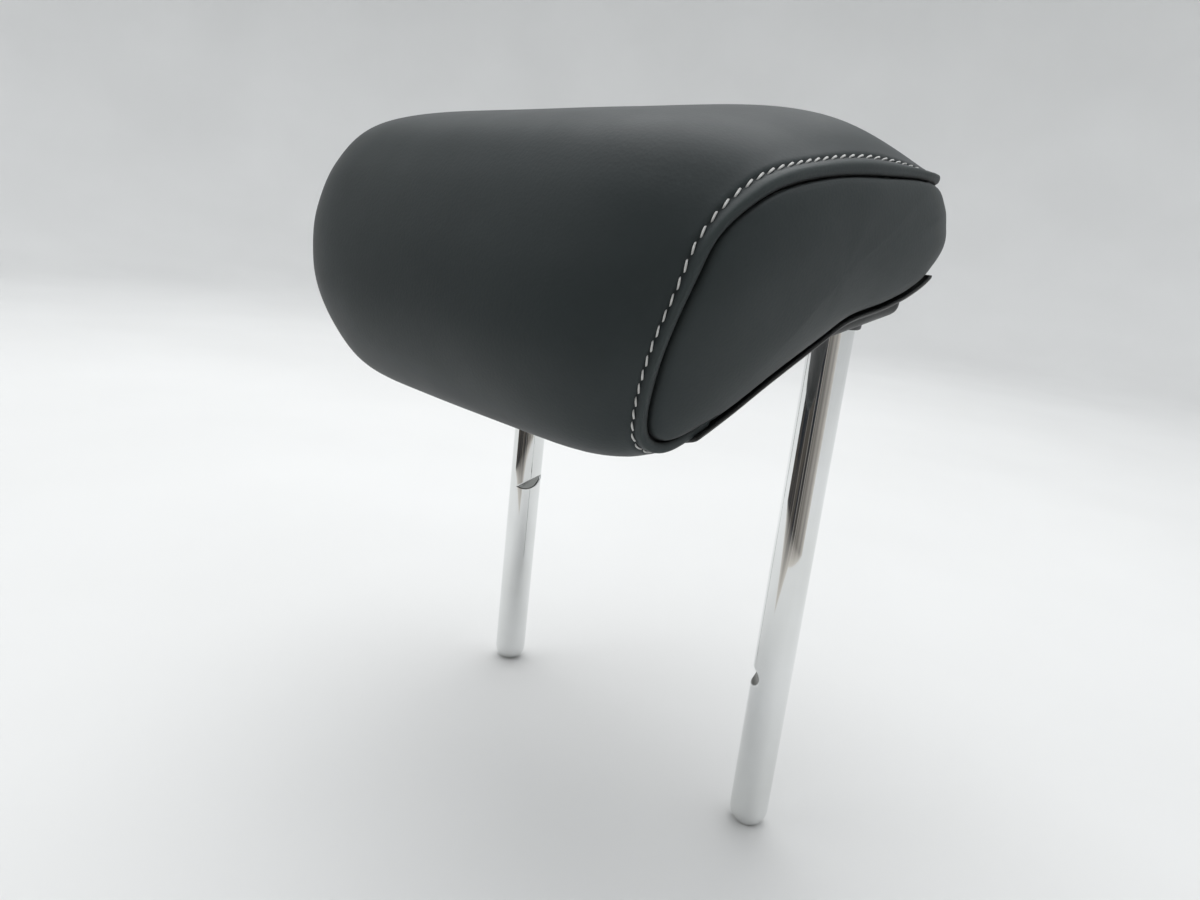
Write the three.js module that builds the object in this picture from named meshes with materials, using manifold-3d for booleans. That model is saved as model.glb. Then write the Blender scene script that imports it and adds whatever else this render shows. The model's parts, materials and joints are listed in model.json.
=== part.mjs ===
// Car-seat head restraint: a leather-covered cushion on a bent steel stay.
// Millimetres, +Z up. The cushion's front faces -Y, and +X is on the right when seen from the front.
// The origin is midway between the lower ends of the two posts.
import * as THREE from 'three';
import { mergeVertices } from 'three/addons/utils/BufferGeometryUtils.js';
import Module from 'manifold-3d';

const wasm = await Module();
wasm.setup();

// ---- driving dimensions ----
const GAP = 0.3;                    // clearance between neighbouring pieces

const POST_RADIUS = 7;
const POST_X = 74;                  // half the post spacing
const CROSSBAR_Z = 216;
const BEND_RADIUS = 22;
const STAY_SIDES = 20;
const BEND_STEPS = 6;
const POST_END_FLAT = 3.6;          // radius of the flat on a post's lower end
const POST_END_HEIGHT = 6;          // height over which the end is rounded

const LEATHER = 2;                  // laminated cover thickness
const TAPE = 0.6;                   // reinforcing tape behind the seam
const SIDE_BULGE = 2.8;             // crown of a side panel
const CROWN_POWER = 5.5;            // how squarely the crown meets the ends
const STITCH_S = 0.943;             // where the topstitch runs, as a fraction of the half width
const THREAD_RADIUS = 0.4;

const CORE_HALF_WIDTH = 82.5;
const CORE_WALL = 2.4;
const RIB = 2;
const BOSS_RADIUS = 3.6;
const SCREW_RADIUS = 1.6;
const SCREW_HEAD = 3.2;

// The cushion's outline at the side seam and at mid-width, point for point, from the rear top edge
// forwards over the top, down the front, round the lower lip and back along the underside.
// Each row is [end y, end z, half width at the end, middle y, middle z].
const OUTLINE = [
  [13, 233, 92, 32, 238],
  [-19, 231, 95, -13, 249],
  [-46, 228, 97, -60, 242],
  [-68, 223, 98, -89, 236],
  [-81, 217, 98.5, -103, 221],
  [-90, 209, 97.5, -109, 201],
  [-93.5, 198.5, 95.5, -110, 184.5],
  [-95.5, 186, 92, -108, 173],
  [-94, 173.5, 87, -102.5, 161],
  [-90.5, 161.5, 82, -94, 150],
  [-86, 155.5, 80.5, -83, 145],
  [-78, 154.5, 81, -72, 146],
  [-64, 161.5, 84, -60, 159.5],
  [-49, 172, 87, -46, 170.5],
  [-31, 182.5, 89, -30, 182],
  [-17, 190, 90, -15.5, 189.5],
  [3.5, 195.5, 90.5, 6, 195],
  [21, 204, 91, 27, 203.5],
  [28.5, 213, 91, 42, 211],
  [27, 218.5, 91, 45, 219.5],
  [20, 227, 91.5, 43, 230],
];
const AROUND = 36;                                        // samples round the outline
const SECTIONS = [0, 0.4, 0.7, 0.85, STITCH_S, 1];        // cross sections, as fractions of half width
const CAP_RINGS = [1, 0.7, 0.35];                         // rings of a side panel
const STITCH_FIRST = -1;                                  // samples between which the topstitch runs
const STITCH_LAST = 19;

// The line (y, z) on which the underside cover lies, front to rear.
const UNDERSIDE = [[-71, 158.6], [-64, 161.5], [-49, 172], [-31, 182.5], [-17, 190], [3.5, 195.5],
  [21, 203], [28, 206.5]];
// The cover's lower face, front to rear: a skin, then a flat pad round the posts with a tall rear wall.
const CLOSEOUT_LOWER = [[-71, 156.6], [-63, 159.8], [-48, 170], [-36, 177], [-28, 181], [-22, 182],
  [31, 191.5], [31, 205]];
// Spans that reach past the cover on every side, for cutting.
const SPAN_X = 95;
const SPAN_LOW = 120;
const SPAN_HIGH = 230;
const ROOM = 0.4;                   // clearance round the core and the closeout
// Half of the cover's plan, (x, y).
const CLOSEOUT_PLAN = [[80.5, -71], [86.3, -36], [87, 18], [80, 31]];
const PAD_WALL = 2;
const PAD_FRONT = -19;              // front of the hollow above the pad
const PAD_REAR = 31;                // outer face of the rear wall
const BUSH_RADIUS = 8.8;
const BUSH_BORE = 7.35;

// ---- solids and meshes ----
function solid(geometry) {
  const plain = geometry.index ? geometry.toNonIndexed() : geometry.clone();
  plain.deleteAttribute('normal');
  plain.deleteAttribute('uv');
  const merged = mergeVertices(plain, 1e-4);
  return new wasm.Manifold(new wasm.Mesh({
    numProp: 3,
    vertProperties: new Float32Array(merged.attributes.position.array),
    triVerts: new Uint32Array(merged.index.array),
  }));
}

function geometryOf(body) {
  const mesh = body.getMesh();
  const geometry = new THREE.BufferGeometry();
  geometry.setAttribute('position', new THREE.BufferAttribute(new Float32Array(mesh.vertProperties), 3));
  geometry.setIndex(new THREE.BufferAttribute(new Uint32Array(mesh.triVerts), 1));
  return geometry;
}

const join = (bodies) => bodies.reduce((sum, body) => sum.add(body));
const cut = (body, tools) => tools.reduce((rest, tool) => rest.subtract(tool), body);

// Joins closed rings of points into a skin. A ring may be one repeated point.
function skin(rings, { capEnds = false, loop = false } = {}) {
  const count = rings[0].length;
  const positions = rings.flat().flatMap((p) => [p.x, p.y, p.z]);
  const index = [];
  const last = loop ? rings.length : rings.length - 1;
  for (let i = 0; i < last; i += 1) {
    for (let k = 0; k < count; k += 1) {
      const a = i * count + k;
      const b = i * count + ((k + 1) % count);
      const next = ((i + 1) % rings.length) * count;
      const c = next + k;
      const d = next + ((k + 1) % count);
      index.push(a, c, b, b, c, d);
    }
  }
  if (capEnds) {
    for (let k = 1; k < count - 1; k += 1) {
      const end = (rings.length - 1) * count;
      index.push(0, k, k + 1, end, end + k + 1, end + k);
    }
  }
  const geometry = new THREE.BufferGeometry();
  geometry.setAttribute('position', new THREE.Float32BufferAttribute(positions, 3));
  geometry.setIndex(index);
  return outward(geometry);
}

// Drops triangles without area and turns the skin inside out if its volume is negative.
function outward(geometry) {
  const merged = mergeVertices(geometry, 1e-4);
  const p = merged.attributes.position;
  const a = new THREE.Vector3();
  const b = new THREE.Vector3();
  const c = new THREE.Vector3();
  let volume = 0;
  let kept = [];
  for (let i = 0; i < merged.index.count; i += 3) {
    const t = [0, 1, 2].map((k) => merged.index.getX(i + k));
    if (t[0] === t[1] || t[1] === t[2] || t[2] === t[0]) continue;
    a.fromBufferAttribute(p, t[0]);
    b.fromBufferAttribute(p, t[1]);
    c.fromBufferAttribute(p, t[2]);
    volume += a.dot(b.clone().cross(c));
    kept.push(t);
  }
  if (volume < 0) kept = kept.map(([i, j, k]) => [i, k, j]);
  merged.setIndex(kept.flat());
  return merged;
}

// A prism with its outline in the YZ plane, from x0 to x1.
function prismX(outline, x0, x1) {
  const shape = new THREE.Shape(outline.map(([y, z]) => new THREE.Vector2(y, z)));
  const geometry = new THREE.ExtrudeGeometry(shape, { depth: x1 - x0, bevelEnabled: false });
  geometry.applyMatrix4(new THREE.Matrix4().makeBasis(
    new THREE.Vector3(0, 1, 0), new THREE.Vector3(0, 0, 1), new THREE.Vector3(1, 0, 0)));
  geometry.translate(x0, 0, 0);
  return solid(geometry);
}

// A prism with its outline in plan, from z0 to z1.
function prismZ(outline, z0, z1) {
  const shape = new THREE.Shape(outline.map(([x, y]) => new THREE.Vector2(x, y)));
  const geometry = new THREE.ExtrudeGeometry(shape, { depth: z1 - z0, bevelEnabled: false });
  geometry.translate(0, 0, z0);
  return solid(geometry);
}

function rod(x, y, radius, z0, z1, sides = 16) {
  const geometry = new THREE.CylinderGeometry(radius, radius, z1 - z0, sides);
  geometry.rotateX(Math.PI / 2);
  geometry.translate(x, y, (z0 + z1) / 2);
  return solid(geometry);
}

function block(x0, x1, y0, y1, z0, z1) {
  const geometry = new THREE.BoxGeometry(x1 - x0, y1 - y0, z1 - z0);
  geometry.translate((x0 + x1) / 2, (y0 + y1) / 2, (z0 + z1) / 2);
  return solid(geometry);
}

const mirrorX = (points) => points.map(([x, y]) => [-x, y]).reverse();

// Moves each corner of a closed outline inwards (or outwards, where distance is negative).
function inset(points, distance) {
  const count = points.length;
  const area = points.reduce((sum, [u, v], i) => {
    const [s, t] = points[(i + 1) % count];
    return sum + u * t - s * v;
  }, 0);
  const side = Math.sign(area);
  return points.map(([u, v], i) => {
    const [pu, pv] = points[(i + count - 1) % count];
    const [nu, nv] = points[(i + 1) % count];
    const before = new THREE.Vector2(u - pu, v - pv).normalize();
    const after = new THREE.Vector2(nu - u, nv - v).normalize();
    const normal = new THREE.Vector2(-before.y - after.y, before.x + after.x).normalize();
    const corner = Math.max(normal.dot(new THREE.Vector2(-before.y, before.x)), 0.5);
    return [u + (normal.x * distance * side) / corner, v + (normal.y * distance * side) / corner];
  });
}

// ---- the cushion's surface ----
const closed = (points) => new THREE.CatmullRomCurve3(points, true, 'catmullrom', 0.5);
const END_CURVE = closed(OUTLINE.map(([y, z, x]) => new THREE.Vector3(x, y, z)));
const MIDDLE_CURVE = closed(OUTLINE.map(([, , x, y, z]) => new THREE.Vector3(x, y, z)));
const SAMPLES = Array.from({ length: AROUND }, (_, k) => ({
  end: END_CURVE.getPoint(k / AROUND),
  middle: MIDDLE_CURVE.getPoint(k / AROUND),
}));

// One closed section of the cushion at the fraction s of its half width, moved in by depth.
function section(s, depth, across = 0) {
  const crown = 1 - Math.abs(s) ** CROWN_POWER;
  const outline = SAMPLES.map(({ end, middle }) => [
    end.y + (middle.y - end.y) * crown,
    end.z + (middle.z - end.z) * crown,
  ]);
  return inset(outline, depth).map(([y, z], k) => new THREE.Vector3(s * (SAMPLES[k].end.x - across), y, z));
}

// The rings of a side panel's face, from the seam to the middle of the panel.
function sidePanel(sign, depth, across) {
  const edge = section(sign, depth, across);
  const centre = edge.reduce((sum, p) => sum.add(p), new THREE.Vector3()).divideScalar(edge.length);
  const rings = CAP_RINGS.map((r) => edge.map((p) => {
    const q = centre.clone().lerp(p, r);
    q.x += sign * SIDE_BULGE * (1 - r ** 2.2);
    return q;
  }));
  const middle = centre.clone().setX(centre.x + sign * SIDE_BULGE);
  return [...rings, edge.map(() => middle)];
}

const ACROSS = [...SECTIONS.slice(1).map((s) => -s).reverse(), ...SECTIONS];

// The whole cushion as one solid, moved in by depth and shortened by across at each end.
function cushion(depth, across) {
  return skin([
    ...sidePanel(-1, depth, across).reverse(),
    ...ACROSS.slice(1, -1).map((s) => section(s, depth, across)),
    ...sidePanel(1, depth, across),
  ]);
}

// A sheet round the cushion between two depths, over the given sections.
function wrap(fractions, outer, inner, across = 0) {
  return skin([
    ...fractions.map((s) => section(s, outer, across)),
    ...fractions.map((s) => section(s, inner, across)).reverse(),
  ], { loop: true });
}

// ---- steel stay ----
// Rings of a round bar along a path in the XZ plane.
function barRing(x, z, angle, radius, sides = STAY_SIDES) {
  return Array.from({ length: sides }, (_, k) => {
    const turn = ((k + 0.5) / sides) * 2 * Math.PI;
    const off = Math.cos(turn) * radius;
    return new THREE.Vector3(x + off * Math.cos(angle), Math.sin(turn) * radius, z + off * Math.sin(angle));
  });
}

function stayRings(extra, roundedEnds) {
  const start = roundedEnds ? [] : [barRing(POST_X, 0, 0, POST_RADIUS + extra)];
  if (roundedEnds) {
    for (let k = 0; k <= 3; k += 1) {
      const turn = (k / 3) * (Math.PI / 2);
      const radius = POST_END_FLAT + (POST_RADIUS - POST_END_FLAT) * Math.sin(turn);
      start.push(barRing(POST_X, POST_END_HEIGHT * (1 - Math.cos(turn)), 0, radius));
    }
  }
  const bend = [];
  for (let k = 0; k <= BEND_STEPS; k += 1) {
    const turn = (k / BEND_STEPS) * (Math.PI / 2);
    bend.push([
      POST_X - BEND_RADIUS * (1 - Math.cos(turn)),
      CROSSBAR_Z - BEND_RADIUS * (1 - Math.sin(turn)),
      turn,
    ]);
  }
  const right = [...start, ...bend.map(([x, z, turn]) => barRing(x, z, turn, POST_RADIUS + extra))];
  const left = right.map((ring) => ring.map((p) => p.clone().setX(-p.x))).reverse();
  return [...right, ...left];
}

const stayBody = (extra, roundedEnds) => solid(skin(stayRings(extra, roundedEnds), { capEnds: true }));

// A round-bottomed detent notch across a post: depth is measured from the post's surface.
function roundNotch(x, z, heading, depth, radius) {
  const geometry = new THREE.CylinderGeometry(radius, radius, 4 * POST_RADIUS, 12);
  geometry.rotateZ(heading);
  const reach = POST_RADIUS + radius - depth;
  geometry.translate(x + reach * Math.cos(heading), reach * Math.sin(heading), z);
  return solid(geometry);
}

// A V-shaped notch, tilted so that its rear end is higher.
function veeNotch(x, z, heading, depth, mouth, tilt) {
  const wedge = new THREE.Shape([[0, 0], [8, -mouth], [8, mouth]].map(([u, v]) => new THREE.Vector2(u, v)));
  const length = 4 * POST_RADIUS;
  const geometry = new THREE.ExtrudeGeometry(wedge, { depth: length, bevelEnabled: false });
  geometry.translate(0, 0, -length / 2);
  geometry.rotateX(Math.PI / 2);
  geometry.translate(POST_RADIUS - depth, 0, 0);
  geometry.rotateX(tilt);
  geometry.rotateZ(heading);
  geometry.translate(x, 0, z);
  return solid(geometry);
}

const RIGHT_NOTCH = { z: 61, heading: THREE.MathUtils.degToRad(-140), depth: 2.2, radius: 3.8 };
const LEFT_NOTCH = { z: 91, heading: THREE.MathUtils.degToRad(-8), depth: 3.6, mouth: 4.6,
  tilt: THREE.MathUtils.degToRad(22) };

function steelStay() {
  const { z, heading, depth, radius } = RIGHT_NOTCH;
  const vee = LEFT_NOTCH;
  return cut(stayBody(0, true), [
    roundNotch(POST_X, z, heading, depth, radius),
    veeNotch(-POST_X, vee.z, vee.heading, vee.depth, vee.mouth, vee.tilt),
  ]);
}

// ---- plastic core: two shells clamped round the crossbar ----
const CORE_PROFILE = [[-33, 194], [-10, 194], [4, 198.5], [12, 204], [12, 223], [8, 228], [-30, 228],
  [-35, 222], [-35, 200]];
const CORE_SCREWS = [-60, -20, 20, 60].map((x) => [x, -22]);
const CORE_BOTTOM = 194;
const CORE_TOP = 228;
const CLOSEOUT_SCREW_Y = -8;
const CLOSEOUT_SCREWS = [-44, 0, 44].map((x) => [x, CLOSEOUT_SCREW_Y]);
const HEAD_RECESS = 1;              // how deep a closeout screw's head sits in the pad
const CORE_RIBS = [-64, -32, 0, 32, 64];

function coreShell(upper) {
  const outer = prismX(CORE_PROFILE, -CORE_HALF_WIDTH, CORE_HALF_WIDTH);
  const innerHalf = CORE_HALF_WIDTH - CORE_WALL;
  const inner = prismX(inset(CORE_PROFILE, CORE_WALL), -innerHalf, innerHalf);
  const ribs = CORE_RIBS.map((x) => prismX(CORE_PROFILE, x - RIB / 2, x + RIB / 2));
  const bosses = CORE_SCREWS.map(([x, y]) => rod(x, y, BOSS_RADIUS, CORE_BOTTOM, CORE_TOP));
  const lowBosses = CLOSEOUT_SCREWS.map(([x, y]) => rod(x, y, BOSS_RADIUS, 196, 206.5));
  const whole = join([outer.subtract(inner), ...ribs, ...bosses, ...lowBosses]);
  const half = upper
    ? block(-100, 100, -60, 60, CROSSBAR_Z + GAP / 2, 240)
    : block(-100, 100, -60, 60, 180, CROSSBAR_Z - GAP / 2);
  const screwHoles = CORE_SCREWS.map(([x, y]) => rod(x, y, SCREW_RADIUS + GAP, 180, 224));
  const lowHoles = CLOSEOUT_SCREWS.map(([x, y]) => rod(x, y, SCREW_RADIUS + GAP, 180, 208));
  return cut(whole.intersect(half), [stayBody(GAP, false), ...screwHoles, ...lowHoles]);
}

// A screw with a domed head, driven upwards. The head's upper face is at z.
function screw([x, y], z, length) {
  const profile = [[0, -2.2], [1.8, -2.1], [2.8, -1.4], [SCREW_HEAD, 0], [SCREW_RADIUS, 0],
    [SCREW_RADIUS, length - 1.5], [0, length]].map(([r, h]) => new THREE.Vector2(r, h));
  const geometry = new THREE.LatheGeometry(profile, 12);
  geometry.rotateX(Math.PI / 2);
  geometry.translate(x, y, z);
  return solid(outward(geometry));
}

// ---- underside cover and its fastenings ----
const belowUnderside = (rise) => [
  ...UNDERSIDE.map(([y, z]) => [y, z + rise]), [60, 206.5 + rise], [60, SPAN_LOW], [-71, SPAN_LOW],
];

const closeoutPlan = (extra) => {
  const plan = CLOSEOUT_PLAN.map(([x, y]) => [x + extra, y]);
  return [...plan, ...mirrorX(plan)];
};

const padFloor = (y) => {
  const [[y0, z0], [y1, z1]] = CLOSEOUT_LOWER.slice(5, 7);
  return z0 + ((z1 - z0) * (y - y0)) / (y1 - y0);
};

function lowerCloseout() {
  const outline = [...CLOSEOUT_LOWER, ...[...UNDERSIDE].reverse()];
  const plan = prismZ(closeoutPlan(0), SPAN_LOW, SPAN_HIGH);
  const body = prismX(outline, -SPAN_X, SPAN_X).intersect(plan);
  const rear = PAD_REAR - PAD_WALL;
  const hollow = [[PAD_FRONT, padFloor(PAD_FRONT) + PAD_WALL], [rear, padFloor(rear) + PAD_WALL],
    [rear, SPAN_HIGH], [PAD_FRONT, SPAN_HIGH]];
  const room = prismX(hollow, -SPAN_X, SPAN_X)
    .intersect(prismZ(closeoutPlan(-PAD_WALL), SPAN_LOW, SPAN_HIGH));
  const bosses = CLOSEOUT_SCREWS.map(([x, y]) => rod(x, y, BOSS_RADIUS, padFloor(y), 191.5));
  const holes = [
    ...CLOSEOUT_SCREWS.map(([x, y]) => rod(x, y, SCREW_RADIUS + GAP, SPAN_LOW, SPAN_HIGH)),
    ...CLOSEOUT_SCREWS.map(([x, y]) => rod(x, y, SCREW_HEAD + GAP, SPAN_LOW, padFloor(y) + HEAD_RECESS)),
    ...[-1, 1].map((side) => rod(side * POST_X, 0, BUSH_RADIUS + GAP, SPAN_LOW, SPAN_HIGH, 24)),
  ];
  return cut(join([body.subtract(room), ...bosses]), holes);
}

const CLOSEOUT_SCREW_SEAT = padFloor(CLOSEOUT_SCREW_Y) + HEAD_RECESS - GAP;

function postBush(side) {
  const low = 183.2;
  const high = 193.4;
  const profile = [[BUSH_BORE, low + 0.6], [BUSH_BORE + 0.5, low], [BUSH_RADIUS, low],
    [BUSH_RADIUS, high], [BUSH_BORE, high], [BUSH_BORE, low + 0.6]];
  const geometry = new THREE.LatheGeometry(profile.map(([r, h]) => new THREE.Vector2(r, h)), 24);
  geometry.rotateX(Math.PI / 2);
  geometry.translate(side * POST_X, 0, 0);
  return solid(outward(geometry));
}

// The J strips sewn to the edges of the cover. Long ones run across, short ones up the sides.
const FRONT_STRIP = { y: -59.3, z: 166, toward: -1, reach: 76 };
const REAR_STRIP = { y: 14.2, z: 204, toward: 1, reach: 70 };
const STRIP_HEIGHT = 7;
const STRIP_WIDTH = 4.2;
const STRIP_WALL = 1.2;
const STRIP_DROP = 5;               // how far below a strip its room in the foam opens into the underside

function crossStrip({ y, z, toward, reach }) {
  const at = (u, v) => [y + toward * u, z + v];
  const hook = STRIP_WIDTH - STRIP_WALL;
  return prismX([at(0, 0), at(STRIP_WIDTH, 0), at(STRIP_WIDTH, 3.4), at(hook, 3.4), at(hook, STRIP_WALL),
    at(STRIP_WALL, STRIP_WALL), at(STRIP_WALL, STRIP_HEIGHT), at(0, STRIP_HEIGHT)], -reach, reach);
}

function crossStripRoom({ y, z, toward, reach }) {
  const far = y + toward * (STRIP_WIDTH + GAP);
  const near = y - toward * GAP;
  return block(-reach - GAP, reach + GAP, Math.min(near, far), Math.max(near, far), z - STRIP_DROP,
    z + STRIP_HEIGHT + GAP);
}

const SLOPE = [[-54, 168.5], [-49, 172], [-31, 182.5], [-27, 184.6]];
const band = (low, high) => [...SLOPE.map(([y, z]) => [y, z + low]),
  ...[...SLOPE].reverse().map(([y, z]) => [y, z + high])];

function sideStrip(side) {
  const piece = (low, high, x0, x1) => {
    const [a, b] = [side * x0, side * x1].sort((p, q) => p - q);
    return prismX(band(low, high), a, b);
  };
  return join([piece(0.8, 8, 80.4, 81.6), piece(0.8, 2, 80.4, 83), piece(0.8, 4, 82, 83)]);
}

function sideStripRoom(side) {
  const [a, b] = [side * 80.1, side * 83.3].sort((p, q) => p - q);
  return prismX(inset(band(-1, 8.3), -GAP), a, b);
}

// ---- foam pad ----
const FOAM_DEPTH = LEATHER + TAPE + 5 * GAP;

function foamPad() {
  const pad = solid(cushion(FOAM_DEPTH, 1));
  const coreHalf = CORE_HALF_WIDTH + ROOM;
  const coreRoom = prismX(inset(CORE_PROFILE, -ROOM), -coreHalf, coreHalf);
  const closeoutRoom = prismX(belowUnderside(ROOM), -SPAN_X, SPAN_X)
    .intersect(prismZ(closeoutPlan(ROOM), SPAN_LOW, SPAN_HIGH));
  return cut(pad, [
    coreRoom,
    closeoutRoom,
    ...[-1, 1].map((side) => rod(side * POST_X, 0, BUSH_RADIUS + GAP, SPAN_LOW, 200, 24)),
    ...CORE_SCREWS.map(([x, y]) => rod(x, y, SCREW_HEAD + GAP, 191, 196)),
    ...CLOSEOUT_SCREWS.map(([x, y]) => rod(x, y, BOSS_RADIUS + GAP, 150, 200)),
    crossStripRoom(FRONT_STRIP),
    crossStripRoom(REAR_STRIP),
    sideStripRoom(-1),
    sideStripRoom(1),
  ]);
}

// ---- sewn cover ----
function underCut(body) {
  const opening = prismX(belowUnderside(2 * LEATHER), -SPAN_X, SPAN_X)
    .intersect(prismZ(closeoutPlan(ROOM), SPAN_LOW, SPAN_HIGH));
  return body.subtract(opening);
}

// The cover wraps round the cushion. Its rear face is a panel of its own, below a seam across the back.
const REAR_SEAM_Z = 229;
const rearRegion = (top) => block(-100, 100, 6, 60, 190, top);
const coverWrap = () => underCut(solid(wrap(ACROSS, 0, LEATHER)));
const centreCover = () => coverWrap().subtract(rearRegion(REAR_SEAM_Z + GAP / 2));
const rearCover = () => coverWrap().intersect(rearRegion(REAR_SEAM_Z - GAP / 2));

function sideCover(side) {
  const outer = sidePanel(side, 0, -GAP - LEATHER);
  const inner = sidePanel(side, 0, -GAP);
  return underCut(solid(skin([...[...outer].reverse(), ...inner])));
}

function seamTape(side) {
  const fractions = [0.85, STITCH_S, 1].map((s) => side * s);
  const depth = LEATHER + GAP + 0.1;
  const leatherRoom = solid(wrap(ACROSS, -LEATHER, LEATHER + GAP));
  return underCut(solid(wrap(fractions, depth, depth + TAPE, 0.4)).subtract(leatherRoom));
}

// Six-sided thread along the samples of one section, just proud of the leather.
function topstitch(side) {
  const line = section(side * STITCH_S, -GAP - THREAD_RADIUS - 0.1);
  const below = section(side * STITCH_S, 0);
  const rings = [];
  for (let k = STITCH_FIRST; k <= STITCH_LAST; k += 1) {
    const i = (k + AROUND) % AROUND;
    const out = line[i].clone().sub(below[i]).normalize();
    const along = new THREE.Vector3(side, 0, 0);
    rings.push(Array.from({ length: 6 }, (_, j) => {
      const turn = (j / 6) * 2 * Math.PI;
      return line[i].clone()
        .addScaledVector(out, Math.cos(turn) * THREAD_RADIUS)
        .addScaledVector(along, Math.sin(turn) * THREAD_RADIUS);
    }));
  }
  return solid(skin(rings, { capEnds: true }));
}

// ---- materials ----
const MATERIALS = {
  chrome: { color: 0xc8cacc, metalness: 1, roughness: 0.12 },
  leather: { color: 0x3c4143, metalness: 0, roughness: 0.5 },
  thread: { color: 0xb9bab6, metalness: 0, roughness: 0.8 },
  foam: { color: 0xd8cfae, metalness: 0, roughness: 0.95 },
  tape: { color: 0xe6e4dc, metalness: 0, roughness: 0.9 },
  core: { color: 0x2a2c2e, metalness: 0, roughness: 0.6 },
  trim: { color: 0x151617, metalness: 0, roughness: 0.55 },
  screw: { color: 0x8f9296, metalness: 1, roughness: 0.35 },
};

const headRestraint = new THREE.Group();

function place(name, body, material) {
  const mesh = new THREE.Mesh(geometryOf(body), new THREE.MeshStandardMaterial(MATERIALS[material]));
  mesh.name = name;
  headRestraint.add(mesh);
}

place('steel_stay', steelStay(), 'chrome');
place('core_upper_shell', coreShell(true), 'core');
place('core_lower_shell', coreShell(false), 'core');
place('foam_pad', foamPad(), 'foam');
place('centre_cover', centreCover(), 'leather');
place('rear_cover', rearCover(), 'leather');
place('lower_closeout', lowerCloseout(), 'trim');
place('j_retainer_front', crossStrip(FRONT_STRIP), 'trim');
place('j_retainer_rear', crossStrip(REAR_STRIP), 'trim');
for (const [name, side] of [['left', -1], ['right', 1]]) {
  place(`side_cover_${name}`, sideCover(side), 'leather');
  place(`seam_tape_${name}`, seamTape(side), 'tape');
  place(`topstitch_${name}`, topstitch(side), 'thread');
  place(`j_retainer_${name}`, sideStrip(side), 'trim');
  place(`post_bush_${name}`, postBush(side), 'trim');
}
CORE_SCREWS.forEach((at, i) => place(`core_screw_${i + 1}`, screw(at, CORE_BOTTOM - GAP, 28), 'screw'));
CLOSEOUT_SCREWS.forEach((at, i) => {
  place(`closeout_screw_${i + 1}`, screw(at, CLOSEOUT_SCREW_SEAT, 20), 'screw');
});

export default headRestraint;
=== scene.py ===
"""The looks of a car-seat head restraint: a leather-covered cushion on a chromed steel stay.

Shapes are worked out in millimetres and written to meshes in metres, in the CAD frame:
+Z up, the front faces -Y, the origin midway between the lower ends of the posts.
"""

import json
import math

import bmesh
import bpy
import numpy as np
from mathutils import Matrix, Vector
from mathutils.kdtree import KDTree


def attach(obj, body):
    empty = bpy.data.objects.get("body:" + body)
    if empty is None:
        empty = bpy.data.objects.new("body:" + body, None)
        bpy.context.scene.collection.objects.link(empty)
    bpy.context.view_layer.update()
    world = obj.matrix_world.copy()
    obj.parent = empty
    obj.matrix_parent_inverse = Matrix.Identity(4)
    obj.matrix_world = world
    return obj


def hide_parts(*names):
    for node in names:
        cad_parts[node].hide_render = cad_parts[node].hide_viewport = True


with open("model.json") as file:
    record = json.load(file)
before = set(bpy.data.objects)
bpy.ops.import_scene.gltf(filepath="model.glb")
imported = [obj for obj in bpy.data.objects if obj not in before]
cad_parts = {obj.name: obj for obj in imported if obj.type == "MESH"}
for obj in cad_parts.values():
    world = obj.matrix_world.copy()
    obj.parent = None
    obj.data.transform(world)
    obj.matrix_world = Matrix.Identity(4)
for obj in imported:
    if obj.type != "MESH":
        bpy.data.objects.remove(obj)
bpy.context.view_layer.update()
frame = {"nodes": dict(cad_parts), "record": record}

MM = 0.001
BODY = "root"

# ---- the cushion's nominal surface ----
# The outline at the side seam and at mid-width, point for point, from the rear top edge forwards
# over the top, down the front, round the lower lip and back along the underside.
# Each row is end y, end z, half width at the end, middle y, middle z.
OUTLINE = np.array([
    (12, 233, 92, 33, 241), (-19, 231, 95, -13, 249), (-46, 228, 97, -60, 242),
    (-68, 223, 98, -89, 236), (-81, 217, 98, -103, 221), (-90, 209, 96.8, -109, 201),
    (-93.5, 198.5, 94.6, -110, 184.5), (-95.5, 186, 91.2, -108, 172.5), (-94, 173.5, 86.4, -102.5, 160),
    (-90.5, 161.5, 82, -94, 149), (-86, 155.5, 80.5, -83, 144.3), (-78, 154.5, 81, -72, 146),
    (-64, 161.5, 84, -60, 159.5), (-49, 172, 87, -46, 170.5), (-31, 182.5, 89, -30, 182),
    (-17, 190, 90, -15.5, 189.5), (3.5, 195.5, 91, 6, 195), (22.5, 203.5, 92.5, 27, 203.5),
    (30.5, 212.5, 93.5, 42, 211), (31, 219.5, 93.5, 45, 220), (23.5, 227.5, 92.7, 43.5, 232),
], float)
ROWS = len(OUTLINE)
CROWN_POWER = 6.7           # how squarely the crown meets the ends
MEMBRANE_OFFSET = 9.0       # how far outside the rim the membrane's sources lie
MEMBRANE_SCALE = 50.0       # the length that the membrane's sums are written in
SOURCE_STEP = 3             # one source for this many points of the rim
SIDE_BULGE = 5.8            # crown of a side panel
SIDE_POWER = 1.5            # how early the crown levels off

# Where the panels end, as fractions of the loop.
U_REAR = -0.5 / ROWS        # the seam across the back of the top panel
U_LIP = 11.75 / ROWS        # the top panel's lower edge, under the front of the closeout
U_UNDER = 16.8 / ROWS       # the rear panel's lower edge, under the back of the closeout


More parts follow.
